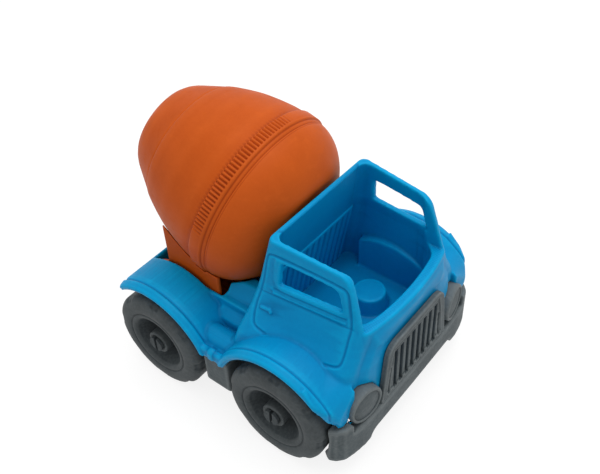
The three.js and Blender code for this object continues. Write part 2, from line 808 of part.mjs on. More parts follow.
// A bar that sweeps back to its ends, where it stands taller and hangs deeper
function makeBumper() {
  const frontX = noseFrontX + bumperProud;
  const sweep = [[0, -0.01], [0.02, 0.51], [0.05, 0.72], [0.15, 0.82], [0.32, 0.915], [0.64, 0.975], [1, 1]];
  const outer = sweep.map(([back, out]) => [frontX - back * bumperSweep, out * bumperHalf]);
  const inner = outer.map(([x, y]) => [x - bumperThickness, y * 0.93]);
  const half = [...outer, ...inner.slice().reverse()];
  const left = alongZ(outlineOf(half), bumperEndBottomZ, bumperEndTopZ);
  const endStart = bumperHalf - bumperEndLength;
  const underCut = alongX(
    roundedOutline([
      [-endStart, -farOut],
      [endStart, -farOut],
      [endStart - 8, bumperBottomZ, 6],
      [-endStart + 8, bumperBottomZ, 6],
    ]),
    0,
    farOut,
  );
  const raisedStart = fenderFrontInnerHalf + seatGap;
  const overCut = block(0, farOut, -raisedStart, raisedStart, bumperTopZ, farOut);
  return bothSides(left).subtract(underCut).subtract(overCut);
}

function makeChassis() {
  const pan = block(bodyRearX + panInset, noseFrontX, -panHalf, panHalf, panBottomZ, panTopZ);
  const lampGap = block(noseFrontX - bumperThickness, farOut, -panHalf - cutSlack, panHalf + cutSlack, bumperTopZ, bodyBottomZ);
  const boxTopZ = stepZ - stepThickness - seatGap;
  const boxes = bothSides(
    alongX(
      outlineOf([
        [panHalf - cutSlack, sideBoxBottomZ + sideBoxBevel[1]],
        [sideBoxHalf - sideBoxBevel[0], sideBoxBottomZ],
        [sideBoxHalf, sideBoxBottomZ + sideBoxBevel[1]],
        [sideBoxHalf, boxTopZ],
        [panHalf - cutSlack, boxTopZ],
      ]),
      midX - sideBoxHalfLength,
      midX + sideBoxHalfLength,
    ),
  );
  const axleCuts = axleX.flatMap((x) => [
    rodY(x, tyreRadius, axleRadius + seatGap, -farOut, farOut),
    block(x - axleRadius - seatGap, x + axleRadius + seatGap, -farOut, farOut, tyreRadius, panTopZ + cutSlack),
  ]);
  const tyreRoom = bothSides(rodY(wheelbase, tyreRadius, tyreRadius + 1.6, wheelInnerHalf - 2, farOut, 64));
  const chassis = [lampGap, ...axleCuts, tyreRoom].reduce(
    (rest, cut) => rest.subtract(cut),
    union([pan, boxes, makeBumper()]),
  );
  return meshOf("chassis", chassis, greyPlastic);
}

// ------------------------------------------------------------- assembly

const truck = new THREE.Group();
truck.name = "concrete_mixer_truck";
truck.add(makeBody(), makeChassis(), makeGrille());
truck.add(makeHeadlight("headlight_left", 1), makeHeadlight("headlight_right", -1));
truck.add(makeAxle("rear_axle", axleX[0]), makeAxle("front_axle", axleX[1]));
axleX.forEach((x, index) => {
  const end = index === 0 ? "rear" : "front";
  truck.add(makeWheel(`wheel_${end}_left`, x, 1), makeWheel(`wheel_${end}_right`, x, -1));
});
truck.add(makeCradle(), makeDrum());

const outerBox = new THREE.Box3().setFromObject(truck);
truck.position.x = -(outerBox.min.x + outerBox.max.x) / 2;

export default truck;
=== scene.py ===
# %% [markdown]
# # A moulded plastic mixer truck
# This lesson dresses a toy truck for display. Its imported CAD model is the
# fixed frame: every piece below takes its place from it. The toy is injection
# moulded, so nothing on it is sharp: each corner has a soft radius, panels are
# split by fine moulded lines, and the plastic has a faint grain.

import json
import math

import bmesh
import bpy
import numpy as np
from mathutils import Matrix, Vector


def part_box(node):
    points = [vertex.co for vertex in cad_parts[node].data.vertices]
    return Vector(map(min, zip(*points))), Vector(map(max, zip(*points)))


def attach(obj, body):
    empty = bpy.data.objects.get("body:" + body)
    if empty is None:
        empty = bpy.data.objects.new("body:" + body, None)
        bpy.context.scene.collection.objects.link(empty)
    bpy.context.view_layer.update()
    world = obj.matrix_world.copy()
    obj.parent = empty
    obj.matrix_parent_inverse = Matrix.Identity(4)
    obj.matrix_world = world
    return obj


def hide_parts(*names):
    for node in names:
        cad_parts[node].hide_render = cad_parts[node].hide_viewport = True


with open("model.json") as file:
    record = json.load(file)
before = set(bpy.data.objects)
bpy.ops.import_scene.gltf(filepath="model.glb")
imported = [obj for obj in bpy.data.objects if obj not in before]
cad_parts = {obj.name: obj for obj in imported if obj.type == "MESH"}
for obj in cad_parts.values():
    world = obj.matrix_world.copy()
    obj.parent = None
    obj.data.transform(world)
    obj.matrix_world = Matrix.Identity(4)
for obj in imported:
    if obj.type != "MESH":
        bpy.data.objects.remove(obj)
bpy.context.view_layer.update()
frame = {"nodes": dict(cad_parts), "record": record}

# %% [markdown]
# ## Working in millimetres from the rear axle
# A toy is drawn in millimetres, and its wheels are what everything lines up
# with. So shapes are worked out in millimetres with x = 0 at the rear axle,
# and one helper turns them into the frame's metres.

# %% Millimetres to the frame's metres
MM = 0.001


def middle(node):
    """The centre of a CAD node's box: half way between its two corners."""
    low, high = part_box(node)
    return (np.array(low) + np.array(high)) / 2


REAR_AXLE_X = middle("rear_axle")[0]
WHEELBASE = (middle("front_axle")[0] - REAR_AXLE_X) / MM


def to_frame(points):
    """Millimetres from the rear axle, scaled to metres and slid along X."""
    return np.asarray(points, float) * MM + np.array([REAR_AXLE_X, 0, 0])


def from_frame(points):
    """The way back: metres in the frame to millimetres from the rear axle."""
    return (np.asarray(points, float) - np.array([REAR_AXLE_X, 0, 0])) / MM


def size_of(node):
    """A CAD node's box as two corners, in millimetres from the rear axle."""
    return from_frame([list(corner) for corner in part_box(node)])


print("wheelbase", round(WHEELBASE, 2), "mm")

# %% [markdown]
# ## Smooth steps
# Moulded details start and end softly. A smooth step rises from 0 to 1 with no
# kink at either end, so a groove or rib made with it has rounded shoulders. A
# bell curve of the distance to a line gives a fine groove its round bottom.

# %% Smooth steps and a bell


def ease(value, start, end):
    """0 before start, 1 after end, and t * t * (3 - 2 t) between them."""
    t = np.clip((value - start) / (end - start), 0, 1)
    return t * t * (3 - 2 * t)


def fade(value, full, gone):
    """The same step downwards: 1 up to full, and 0 from gone on."""
    return ease(-value, -gone, -full)


def between(value, start, full, away, gone):
    """Rises from start to full, and falls from away to gone."""
    return ease(value, start, full) * fade(value, away, gone)


def bell(distance, width):
    """1 on a line, and falling away to nothing about twice the width from it."""
    return np.exp(-((distance / width) ** 2))


print("ease at the middle:", ease(np.array([0.5]), 0, 1)[0])

# %% [markdown]
# ## From a grid of points to a mesh
# A surface of two parameters is a grid. Neighbouring points make squares; the
# last column joins the first when the surface goes all the way round, and the
# last row joins the first when its section is a closed loop. Where it starts
# and ends on an axis instead, a point closes each end with a fan. The signed
# volume tells which way the faces look, and turns them outwards if need be.

# %% Grid to mesh


def new_object(name, mesh):
    """An object at the origin that shows a mesh."""
    made = bpy.data.objects.new(name, mesh)
    bpy.context.scene.collection.objects.link(made)
    return made


def signed_volume(points, corners):
    """A sixth of the sum of each triangle's box product: positive when faces look out."""
    a, b, c = (points[corners[:, i]] for i in range(3))
    return float(np.einsum("ij,ij->i", a, np.cross(b, c)).sum() / 6)


def mesh_from_grid(name, grid, loop=False):
    """A mesh from a grid [rows, columns, xyz] in metres; its rows close into a loop, or end in two fans."""
    rows, cols, _ = grid.shape
    points = grid.reshape(-1, 3)
    i = np.arange(rows if loop else rows - 1)[:, None] * np.ones((1, cols), int)
    j = np.arange(cols)[None, :] * np.ones((len(i), 1), int)
    after, beside = (i + 1) % rows, (j + 1) % cols
    quads = np.stack([i * cols + j, i * cols + beside, after * cols + beside, after * cols + j], -1)
    quads = quads.reshape(-1, 4)
    fans = np.zeros((0, 3), int)
    if not loop:
        ends = np.stack([grid[0].mean(0), grid[-1].mean(0)])
        first, last = len(points), len(points) + 1
        points = np.concatenate([points, ends])
        ring, turn = np.arange(cols), (np.arange(cols) + 1) % cols
        top = (rows - 1) * cols
        fans = np.concatenate([
            np.stack([np.full(cols, first), turn, ring], -1),
            np.stack([np.full(cols, last), top + ring, top + turn], -1),
        ])
    halves = np.concatenate([quads[:, :3], quads[:, [0, 2, 3]], fans])
    if signed_volume(points - points.mean(0), halves) < 0:
        quads, fans = quads[:, ::-1], fans[:, ::-1]
    mesh = bpy.data.meshes.new(name)
    mesh.vertices.add(len(points))
    mesh.vertices.foreach_set("co", points.astype(np.float32).ravel())
    mesh.loops.add(quads.size + fans.size)
    mesh.loops.foreach_set("vertex_index", np.concatenate([quads.ravel(), fans.ravel()]).astype(np.int32))
    mesh.polygons.add(len(quads) + len(fans))
    starts = np.concatenate([np.arange(len(quads)) * 4, quads.size + np.arange(len(fans)) * 3])
    mesh.polygons.foreach_set("loop_start", starts.astype(np.int32))
    mesh.update(calc_edges=True)
    mesh.validate()
    return mesh


unit_corner = np.vstack([np.zeros(3), np.eye(3)])
faces = np.array([[0, 2, 1], [0, 1, 3], [0, 3, 2], [1, 2, 3]])
print("volume of a unit corner:", round(signed_volume(unit_corner, faces), 3))

# %% [markdown]
# ## Softening by averaging
# Moving each point towards the average of its neighbours, a few times over,
# melts corners first and leaves flat walls alone, as a polished mould does.
# The same averaging also measures edges: on an outer corner a point stands
# out from the average of its neighbours, and in a groove it lies below it.

# %% Neighbour averaging


def points_of(mesh):
    """A mesh's points as an array, in metres."""
    flat = np.empty(len(mesh.vertices) * 3, np.float32)
    mesh.vertices.foreach_get("co", flat)
    return flat.reshape(-1, 3).astype(float)


def edges_of(mesh):
    """A mesh's edges as pairs of point numbers."""
    flat = np.empty(len(mesh.edges) * 2, np.int32)
    mesh.edges.foreach_get("vertices", flat)
    return flat.reshape(-1, 2)


def normals_of(mesh):
    """The outward direction at each point."""
    flat = np.empty(len(mesh.vertices) * 3, np.float32)
    mesh.vertex_normals.foreach_get("vector", flat)
    return flat.reshape(-1, 3).astype(float)


def put_points(mesh, points):
    """Writes the points back and works the normals out again."""
    mesh.vertices.foreach_set("co", points.astype(np.float32).ravel())
    mesh.update()


def lift_skin(mesh, relief):
    """Moves every point along its normal by its relief, in millimetres."""
    put_points(mesh, points_of(mesh) + normals_of(mesh) * (relief * MM)[:, None])


def triangles_of(mesh):
    """How many triangles a mesh's faces make: each has two fewer than its corners."""
    return sum(len(face.vertices) - 2 for face in mesh.polygons)


def averaged(points, edges, rounds):
    """Each round puts every point at the mean of its neighbours and itself."""
    count = len(points)
    links = np.bincount(edges.ravel(), minlength=count)[:, None] + 1.0
    for _ in range(rounds):
        total = points.copy()
        for axis in range(3):
            total[:, axis] += np.bincount(edges[:, 0], points[edges[:, 1], axis], count)
            total[:, axis] += np.bincount(edges[:, 1], points[edges[:, 0], axis], count)
        points = total / links
    return points


def put_attribute(mesh, name, values):
    """Stores one number a point under a name that materials can read."""
    kept = mesh.attributes.new(name, "FLOAT", "POINT")
    kept.data.foreach_set("value", np.asarray(values, np.float32))


def mark_edges(mesh, rounds=6, full=0.12):
    """How far each point stands out from its softened neighbours, as a share of full millimetres."""
    points, edges = points_of(mesh), edges_of(mesh)
    out = np.einsum("ij,ij->i", points - averaged(points, edges, rounds), normals_of(mesh)) / MM
    # The plastics paint a highlight on outer corners and shade in grooves from this measure.
    put_attribute(mesh, "edge", np.clip(out / full, -1, 1))


spike = np.array([[0, 0, 0], [0, 0, 1], [0, 0, 0]], float)
print("a spike after one round:", averaged(spike, np.array([[0, 1], [1, 2]]), 1)[:, 2].round(2))

# %% [markdown]
# ## Shader sums as plain expressions
# A material is a chain of nodes. Writing `1 - mask` is easier to read than
# three lines of linking, so a small class wraps a socket and its operators add
# the Math nodes. Colours keep to Mix nodes, because a Math node turns grey.

# %% A socket that does arithmetic


class Wire:
    """An output socket; sums on it add Math nodes to its recipe."""

    def __init__(self, recipe, socket):
        self.recipe, self.socket = recipe, socket

    def maths(self, operation, first, second):
        """One Math node between two wires or numbers."""
        return self.recipe.node("ShaderNodeMath", {"operation": operation}, {0: first, 1: second})

    def __add__(self, other):
        return self.maths("ADD", self, other)

    def __radd__(self, other):
        return self.maths("ADD", other, self)

    def __sub__(self, other):
        return self.maths("SUBTRACT", self, other)

    def __rsub__(self, other):
        return self.maths("SUBTRACT", other, self)

    def __mul__(self, other):
        return self.maths("MULTIPLY", self, other)

    def __rmul__(self, other):
        return self.maths("MULTIPLY", other, self)

    def above(self, other):
        """Whichever of the two is larger."""
        return self.maths("MAXIMUM", self, other)

    def ramp(self, start, end):
        """0 at start and 1 at end, clamped."""
        return self.recipe.node(
            "ShaderNodeMapRange", {"clamp": True}, {"Value": self, "From Min": start, "From Max": end}
        )


# %% A material recipe


def paint(red, green, blue):
    """A colour as written on a paint chart, 0 to 255, turned into linear light."""
    chart = np.array([red, green, blue]) / 255
    linear = np.where(chart <= 0.04045, chart / 12.92, ((chart + 0.055) / 1.055) ** 2.4)
    return (*map(float, linear), 1.0)


class Recipe:
    """A material, or the world, and the one way to add a node to it."""

    def __init__(self, owner):
        owner.use_nodes = True
        self.owner, self.tree = owner, owner.node_tree

    def node(self, kind, settings=None, values=None, out=0):
        """A node with its settings first, then its sockets' values or links; gives its output."""
        made = self.tree.nodes.new(kind)
        for key, value in (settings or {}).items():
            setattr(made, key, value)
        for key, value in (values or {}).items():
            self.feed(made.inputs[key], value)
        return Wire(self, made.outputs[out]) if made.outputs else None

    def feed(self, socket, value):
        """Links a wire to a socket, or sets the socket's own value."""
        if isinstance(value, Wire):
            self.tree.links.new(value.socket, socket)
        else:
            socket.default_value = value

    def mix(self, share, first, second):
        """A colour between two others."""
        return self.node("ShaderNodeMix", {"data_type": "RGBA"}, {0: share, 6: first, 7: second}, out=2)

    def noise(self, scale, detail=2.0, stretch=(1, 1, 1)):
        """Cloudy noise that is fixed to the piece; scale counts patches in a metre."""
        place = self.node("ShaderNodeTexCoord", out="Object")
        place = self.node("ShaderNodeMapping", values={"Vector": place, "Scale": stretch})
        return self.node("ShaderNodeTexNoise", values={"Vector": place, "Scale": scale, "Detail": detail})


print("a middle grey in linear light:", round(paint(128, 128, 128)[0], 3))

# %% [markdown]
# ## Moulded plastic
# The toy's plastic is coloured right through, so its colour hardly changes.
# What the eye reads as plastic is slight: cloudy flow marks a few centimetres wide, a fine grain from the
# mould's sparked steel, a painted highlight that makes outer edges paler, and painted shade that darkens
# grooves and moulded lines. One function mixes all four, in different shares.

# %% Plastic finish
PLASTIC_IOR, SHEEN = 1.46, 0.1
GRAIN_DEPTH = 0.12 * MM


def moulded_plastic(name, body, pale, deep, roughness, flow=0.3, grain=0.5, edge_highlight=0.35, scuff=0.12):
    """A plastic's colour runs from deep to pale by flow marks, a painted highlight on edges and painted shade
    in grooves; its grain is a bump.
    """
    recipe = Recipe(bpy.data.materials.new(name))
    shader = recipe.tree.nodes["Principled BSDF"]
    shader.inputs["IOR"].default_value = PLASTIC_IOR
    shader.inputs["Specular IOR Level"].default_value = SHEEN

    clouds = recipe.noise(48, 3.0).ramp(0.34, 0.68)
    specks = recipe.noise(520, 4.0)
    rubs = recipe.noise(150, 5.0, (1, 1, 2.4)).ramp(0.55, 0.72)
    edge = recipe.node("ShaderNodeAttribute", {"attribute_name": "edge"}, out="Fac")
    # The line attribute carries painted shade for seams, grooves and slots.
    line = recipe.node("ShaderNodeAttribute", {"attribute_name": "line"}, out="Fac")
    # Painted highlight: outer edges are mixed towards the pale colour, broken up by the scuff noise.
    painted_edge_highlight = edge.ramp(0.1, 0.9) * (0.55 + 0.45 * rubs)
    # Painted shade: hollows, grooves and the line attribute's seams and slots are mixed towards the deep
    # colour.
    sunk = (0.0 - edge).ramp(0.15, 1.0).above(line)

    colour = recipe.mix(clouds * flow, body, deep)
    colour = recipe.mix(specks.ramp(0.42, 0.62) * (flow * 0.35), colour, pale)
    # The painted highlight on the edges.
    colour = recipe.mix(painted_edge_highlight * edge_highlight, colour, pale)
    # The painted shade in the grooves.
    colour = recipe.mix(sunk * 0.55, colour, deep)
    recipe.feed(shader.inputs["Base Color"], colour)
    dull = roughness + clouds * 0.06 + rubs * scuff - painted_edge_highlight * 0.05
    recipe.feed(shader.inputs["Roughness"], dull)

    height = recipe.noise(1500, 2.0) * 0.6 + specks * 0.4
    bumps = {"Height": height, "Strength": grain, "Distance": GRAIN_DEPTH}
    bump = recipe.node("ShaderNodeBump", values=bumps)
    recipe.feed(shader.inputs["Normal"], bump)
    return recipe.owner


blue_plastic = moulded_plastic(
    "blue_plastic", paint(0, 143, 201), paint(4, 186, 236), paint(0, 104, 160), 0.38,
    flow=0.14, grain=0.14, edge_highlight=0.5,
)
orange_plastic = moulded_plastic(
    "orange_plastic", paint(192, 82, 20), paint(214, 102, 38), paint(142, 50, 10), 0.46,
    flow=0.2, grain=0.2, edge_highlight=0.35,
)
grey_plastic = moulded_plastic(
    "grey_plastic", paint(88, 97, 100), paint(140, 146, 147), paint(44, 50, 53), 0.48,
    flow=0.36, grain=0.3, edge_highlight=0.6,
)
tyre_plastic = moulded_plastic(
    "tyre_plastic", paint(64, 71, 74), paint(104, 109, 110), paint(34, 38, 41), 0.52,
    flow=0.5, grain=0.35, edge_highlight=0.5,
)
print("plastics:", [m.name for m in (blue_plastic, orange_plastic, grey_plastic, tyre_plastic)])

# %% [markdown]
# ## Setting a finished piece into the frame
# Each piece gets smooth shading, its edge measure and its plastic.

# %% Fit a piece
SLOTS = [m["slot"] for m in frame["record"]["materials"]]
NODE_BODY = {n: body for body, nodes in frame["record"]["behaviour"]["bodies"].items() for n in nodes}


def fit(piece, node, plastic):
    """Gives a piece its finish and lets it stand for a CAD node, on that node's body."""
    mesh = piece.data
    mesh.polygons.foreach_set("use_smooth", np.ones(len(mesh.polygons), bool))
    mark_edges(mesh)
    mesh.materials.clear()
    mesh.materials.append(plastic)
    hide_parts(node)
    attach(piece, NODE_BODY[node])
    print(f"{piece.name}: {triangles_of(mesh)} triangles on {NODE_BODY[node]}")
    return piece


print("finishes in the record:", SLOTS)

# %% [markdown]
# ## Remoulding a CAD shell
# The body, chassis, cradle and grille have the right form but knife-sharp
# corners. Bevelling hundreds of cut edges goes wrong where they meet. A voxel
# remesh lays an even skin of small squares over a copy instead, and averaging
# that skin rounds every corner at once, like the radius in a real mould.

# %% Remould
MOST_TRIANGLES = 192000


def baked(piece):
    """Replaces a piece's mesh by what its modifiers make of it."""
    graph = bpy.context.evaluated_depsgraph_get()
    graph.update()
    made = bpy.data.meshes.new_from_object(piece.evaluated_get(graph))
    old = piece.data
    piece.modifiers.clear()
    piece.data = made
    bpy.data.meshes.remove(old)


def remoulded(name, node, voxel, rounds, additions=()):
    """A copy of a node, with any additions, under one even skin that is averaged a few rounds."""
    mesh = frame["nodes"][node].data.copy()
    whole = bmesh.new()
    whole.from_mesh(mesh)
    for extra in additions:
        whole.from_mesh(extra)
    bmesh.ops.remove_doubles(whole, verts=whole.verts, dist=1e-6)
    whole.to_mesh(mesh)
    whole.free()
    piece = new_object(name, mesh)
    skin = piece.modifiers.new("skin", "REMESH")
    skin.mode = "VOXEL"
    skin.voxel_size = voxel * MM
    baked(piece)
    put_points(piece.data, averaged(points_of(piece.data), edges_of(piece.data), rounds))
    return piece


def thinned(piece, most=MOST_TRIANGLES):
    """Folds away the skin's flattest edges until it has at most that many triangles."""
    triangles = triangles_of(piece.data)
    if triangles > most:
        fewer = piece.modifiers.new("fewer", "DECIMATE")
        fewer.ratio = most / triangles
        baked(piece)


# %% [markdown]
# ## The cab side as a surface
# The cab's sides lean in towards the rim and close in towards the nose. The
# door's lines have to lie on that side, so its half width is written down as
# a function of place: a table by height, times a taper along the length.

# %% Cab side
SIDE_HEIGHTS = [40, 70, 77, 82.5, 88, 94, 104, 112, 144]
SIDE_HALVES = [70, 69.5, 67.5, 63.7, 60, 57, 53, 51.2, 48]


def cab_side(x, z):
    """Half width of the cab: a table by height, narrowing by 12 % from the rear wall to the pillars."""
    return np.interp(z, SIDE_HEIGHTS, SIDE_HALVES) * (1 - 0.12 * (x - 75) / 64)


print("cab half width at the sill:", round(float(cab_side(100, 105)), 1), "mm")

# %% [markdown]
# ## Rounded outlines
# Door, window and frame are all rounded polygons. Chaikin's corner cutting
# makes one: each side is replaced by its middle half, again and again, which
# rounds the corners evenly whatever their angle.

# %% Corner cutting


def rounded_loop(corners, rounds=3):
    """Each round keeps the points a quarter and three quarters along every side."""
    loop = np.array(corners, float)
    for _ in range(rounds):
        ahead = np.roll(loop, -1, 0)
        loop = np.stack([0.75 * loop + 0.25 * ahead, 0.25 * loop + 0.75 * ahead], 1).reshape(-1, 2)
    return loop


def even_loop(loop, count):
    """The same outline with its points spread evenly along its length."""
    closed = np.concatenate([loop, loop[:1]])
    run = np.concatenate([[0], np.cumsum(np.linalg.norm(np.diff(closed, axis=0), axis=1))])
    steps = np.linspace(0, run[-1], count, endpoint=False)
    return np.stack([np.interp(steps, run, closed[:, k]) for k in range(2)], -1)


def distance_to(line, points, closed=False):
    """Shortest distance from each point to any stretch of a line, all in one plane."""
    line = np.asarray(line, float)
    ends = np.roll(line, -1, 0) if closed else line[1:]
    starts = line if closed else line[:-1]
    best = np.full(len(points), 1e9)
    for a, b in zip(starts, ends):
        t = np.clip((points - a) @ (b - a) / max((b - a) @ (b - a), 1e-9), 0, 1)
        best = np.minimum(best, np.linalg.norm(points - a - t[:, None] * (b - a), axis=1))
    return best


WINDOW_HOLE = [
    (84.1, 113.6), (84.4, 116), (85.2, 128.3), (86, 130.3), (88.4, 130.9), (103, 130.3), (118.4, 129),
    (122, 128.2), (123.7, 126), (126.1, 117.2), (126.5, 114.2), (124.8, 113.3), (104, 113.2), (85.8, 113.2),
]
FRAME_RIM = [
    (80.4, 108.6), (80.8, 131.8), (83.5, 133.4), (97, 132.9), (112, 131.8), (124.5, 130.6), (128.2, 127.2),
    (129.6, 120), (130.4, 108.6), (105, 108.6),
]
DOOR_SEAM = [
    (79, 133.9), (82, 134.4), (97, 133.7), (112, 132.7), (124, 131.5), (128.6, 130), (130.2, 124.5),
    (130.9, 119), (133.1, 104.5), (132.4, 96), (132.6, 85), (131.8, 81.2), (127.5, 79.6), (117.5, 79.2),
    (105, 79.6), (92.5, 80.4), (80, 81.8), (72.8, 83.4), (70.6, 87.5), (70.2, 95), (71, 101), (73, 112),
    (74.2, 123), (75.2, 130.5), (76.4, 133),
]
door_seam = rounded_loop(DOOR_SEAM, 2)
print("door outline has", len(door_seam), "points")

# %% [markdown]
# ## Window frames
# Each side window has a raised frame standing in the door. It is a band
# between two rounded outlines, wrapped onto the cab's side. Going round the
# band's square section as well as round the window gives a closed ring, and
# the remesh later melts it into the door.

# %% Window frame rings
FRAME_PROUD, FRAME_DEPTH = 0.9, 3.4


def turning(loop):
    """Twice the area inside an outline: positive when it runs anticlockwise."""
    return float(np.cross(loop, np.roll(loop, -1, 0)).sum())


def window_frame(side, count=160):
    """A square section round the window: inner and outer outline, proud of the cab's face and behind it."""
    inner = even_loop(rounded_loop(WINDOW_HOLE, 2), count)
    outer = even_loop(rounded_loop(FRAME_RIM, 2), count)
    outer = np.roll(outer, -np.argmin(((outer - inner[0]) ** 2).sum(1)), 0)
    if turning(inner) * turning(outer) < 0:
        outer = np.roll(outer[::-1], 1, 0)
    proud, sunk = -FRAME_PROUD, FRAME_DEPTH
    rows = []
    for loop, depth in ((inner, proud), (outer, proud), (outer, sunk), (inner, sunk)):
        half = cab_side(loop[:, 0], loop[:, 1]) - depth
        rows.append(np.stack([loop[:, 0], side * half, loop[:, 1]], -1))
    return mesh_from_grid("window_frame", to_frame(np.array(rows)), loop=True)


print("window frames stand", FRAME_PROUD, "mm proud")

# %% [markdown]
# ## The front fenders' sloping tops
# Ahead of the wheel the fender doesn't follow the arch down. It runs forward
# from its crown in one broad slope that meets the nose high up. A bar with a
# four-sided section does this: its corners follow four lines along the truck,
# and the remesh joins it to the fender.

# %% Fender slope
AXLE_Z, FENDER_RADIUS = 36.4, 45.8
INNER_TOP = [96, 101, 112, 125, 136, 144], [80.6, 81.8, 80.5, 77.6, 74, 68.5]
OUTER_TOP = [96, 101, 108, 117, 126, 134.5, 140, 144], [80.8, 82.4, 82.4, 80.4, 76.4, 70, 64, 56]
OUTER_EDGE = [96, 134, 140, 143.8], [79.5, 79.5, 77.6, 73]


def fender_slope(side, stations=28, share=6):
    """Sections along x. Corners: inner top, outer top, and two points 1 mm under the fender's circle."""
    x = np.linspace(96, 143.8, stations)
    under = AXLE_Z + np.sqrt(np.maximum(FENDER_RADIUS**2 - (x - WHEELBASE) ** 2, 0)) - 1
    inner_top, outer_top = np.interp(x, *INNER_TOP), np.interp(x, *OUTER_TOP)
    inner_y = cab_side(x, inner_top) - 3
    outer_y = np.interp(x, *OUTER_EDGE)
    corners = np.stack([
        np.stack([inner_y, inner_top], -1), np.stack([outer_y, outer_top], -1),
        np.stack([outer_y, under], -1), np.stack([inner_y, under], -1),
    ])
    t = np.arange(share)[:, None, None] / share
    section = np.concatenate([corners[k] * (1 - t) + corners[(k + 1) % 4] * t for k in range(4)])
    rings = np.stack([np.broadcast_to(x, section.shape[:2]), side * section[..., 0], section[..., 1]], -1)
    return mesh_from_grid("fender_slope", to_frame(rings.transpose(1, 0, 2)))


additions = [piece(side) for piece in (window_frame, fender_slope) for side in (1, -1)]
body = remoulded("truck_body", "body", 0.58, 8, additions)
print("body skin:", len(body.data.vertices), "points")

# %% [markdown]
# ## Lines moulded into the body
# The door is not a separate part: a fine groove marks its edge, with a ridge
# under the window and a small handle. Inside, the cab's rear wall carries a
# raised panel with upright grooves. Each is a lift of the skin: a bell curve
# of the distance to a line, or a smooth step across an edge.

# %% Lines on the cab's side
RECESS_Z, RIDGE_Z, BELT_Z, BELT_FALL = 109.8, 107, 105.2, 0.012
HANDLE = [(74.6, 95.6), (80.6, 95.6), (81.3, 94.4)]
SEAM_DEPTH, HANDLE_HEIGHT = 0.85, 1.4


def door_lines(x, z):
    """Lift of the door's seam, recess, ridge and handle and of the belt line, and painted shade for the seam,
    recess and belt line.
    """
    flat = np.stack([x, z], -1)
    to_seam = distance_to(door_seam, flat, closed=True)
    to_recess = np.abs(z - RECESS_Z)
    to_belt = np.abs(z - (BELT_Z - BELT_FALL * (x - 72)))
    on_door = between(x, 79.5, 80.5, 128.5, 130)
    on_belt = between(x, 68, 72, 133, 136)
    lift = -SEAM_DEPTH * bell(to_seam, 0.75)
    lift -= 0.7 * bell(to_recess, 0.8) * on_door
    lift += 0.65 * bell(np.abs(z - RIDGE_Z), 0.9) * on_door
    lift -= 0.35 * bell(to_belt, 0.7) * on_belt
    lift += HANDLE_HEIGHT * fade(distance_to(HANDLE, flat), 0.6, 1.45)
    # Painted shade in the seam, the recess and the belt groove.
    dark = [bell(to_seam, 0.6), 0.8 * bell(to_recess, 0.6) * on_door, 0.35 * bell(to_belt, 0.6) * on_belt]
    return lift, np.maximum.reduce(dark)


print("the seam is", SEAM_DEPTH, "mm deep and the handle", HANDLE_HEIGHT, "mm high")

# %% Panel and flutes on the rear wall
RIM_Z, REAR_WALL_X, REAR_WALL_LEAN = 144, 78.6, 0.206
FLUTE_PITCH = 6.4


def rear_wall_lines(y, z):
    """A raised panel with upright grooves; each is a bell of the distance to the nearest groove's middle. The
    grooves also take painted shade.
    """
    panel = fade(z, 104.4, 105.6) * fade(np.abs(y), 42, 43.5)
    flute = np.abs((y + FLUTE_PITCH / 2) % FLUTE_PITCH - FLUTE_PITCH / 2)
    flutes = bell(flute, 0.75) * fade(z, 101, 102.5) * fade(np.abs(y), 37, 39)
    return 0.9 * panel - 0.8 * flutes, 0.55 * flutes


print("a groove every", FLUTE_PITCH, "mm")

# %% Relief of the whole body
TYRE_TOP = size_of("wheel_front_right")[1][2]


def body_relief(points, normals):
    """How far each point lifts along its normal, in mm, and how much painted shade it takes in a groove or
    seam, 0 to 1.
    """
    x, y, z = points.T
    lift, line = np.zeros(len(x)), np.zeros(len(x))

    out_of_side = np.abs(y) - cab_side(x, z)
    outside = (out_of_side > -1.6) & (out_of_side < 3) & (np.abs(normals[:, 1]) > 0.45)
    near = np.flatnonzero(outside & (x > 64) & (x < 140) & (z > 74) & (z < 138))
    lift[near], line[near] = door_lines(x[near], z[near])

    for axle in (0, WHEELBASE):
        by_fender = (np.abs(y) > 74) & (np.abs(x - axle) < 52) & (z > 44) & (normals[:, 2] > -0.2)
        rolled = np.flatnonzero(by_fender)
        out = np.abs(y[rolled])
        on_top = ease(np.hypot(x[rolled] - axle, z[rolled] - TYRE_TOP / 2), 44.2, 45.2)
        lift[rolled] += (0.7 * ease(out, 77.8, 78.8) - 0.5 * bell(out - 77.6, 0.7)) * on_top

    rear_wall = REAR_WALL_X - REAR_WALL_LEAN * (RIM_Z - z)
    on_wall = (np.abs(x - rear_wall) < 2.4) & (normals[:, 0] > 0.5) & (np.abs(y) < 47) & (z > 54)
    wall = np.flatnonzero(on_wall)
    raised, dark = rear_wall_lines(y[wall], z[wall])
    lift[wall] += raised
    # Painted shade in the flutes.
    line[wall] = np.maximum(line[wall], dark)

    cowl = np.flatnonzero((x > 128) & (x < 143) & (np.abs(z - 102) < 3) & (normals[:, 2] > 0.7))
    pits = np.sin(points[cowl] @ np.array([2.9, 1.3, 0])) * np.sin(points[cowl] @ np.array([-1.1, 2.6, 0]))
    lift[cowl] += 0.16 * pits
    return lift, line


# %% Cowl and finish of the body
def cowl_bulge(points):
    """The cowl bows forward by 1 less the square of y's share of its half width, most on the middle plane."""
    x, y, z = points.T
    bow = np.clip(1 - (y / 45) ** 2, 0, 1) * ease(z, 84, 99) * ease(x, 125, 133)
    return points + np.stack([5.5 * bow, 0 * bow, 0 * bow], -1)


put_points(body.data, to_frame(cowl_bulge(from_frame(points_of(body.data)))))
relief, _ = body_relief(from_frame(points_of(body.data)), normals_of(body.data))
lift_skin(body.data, relief)
thinned(body)
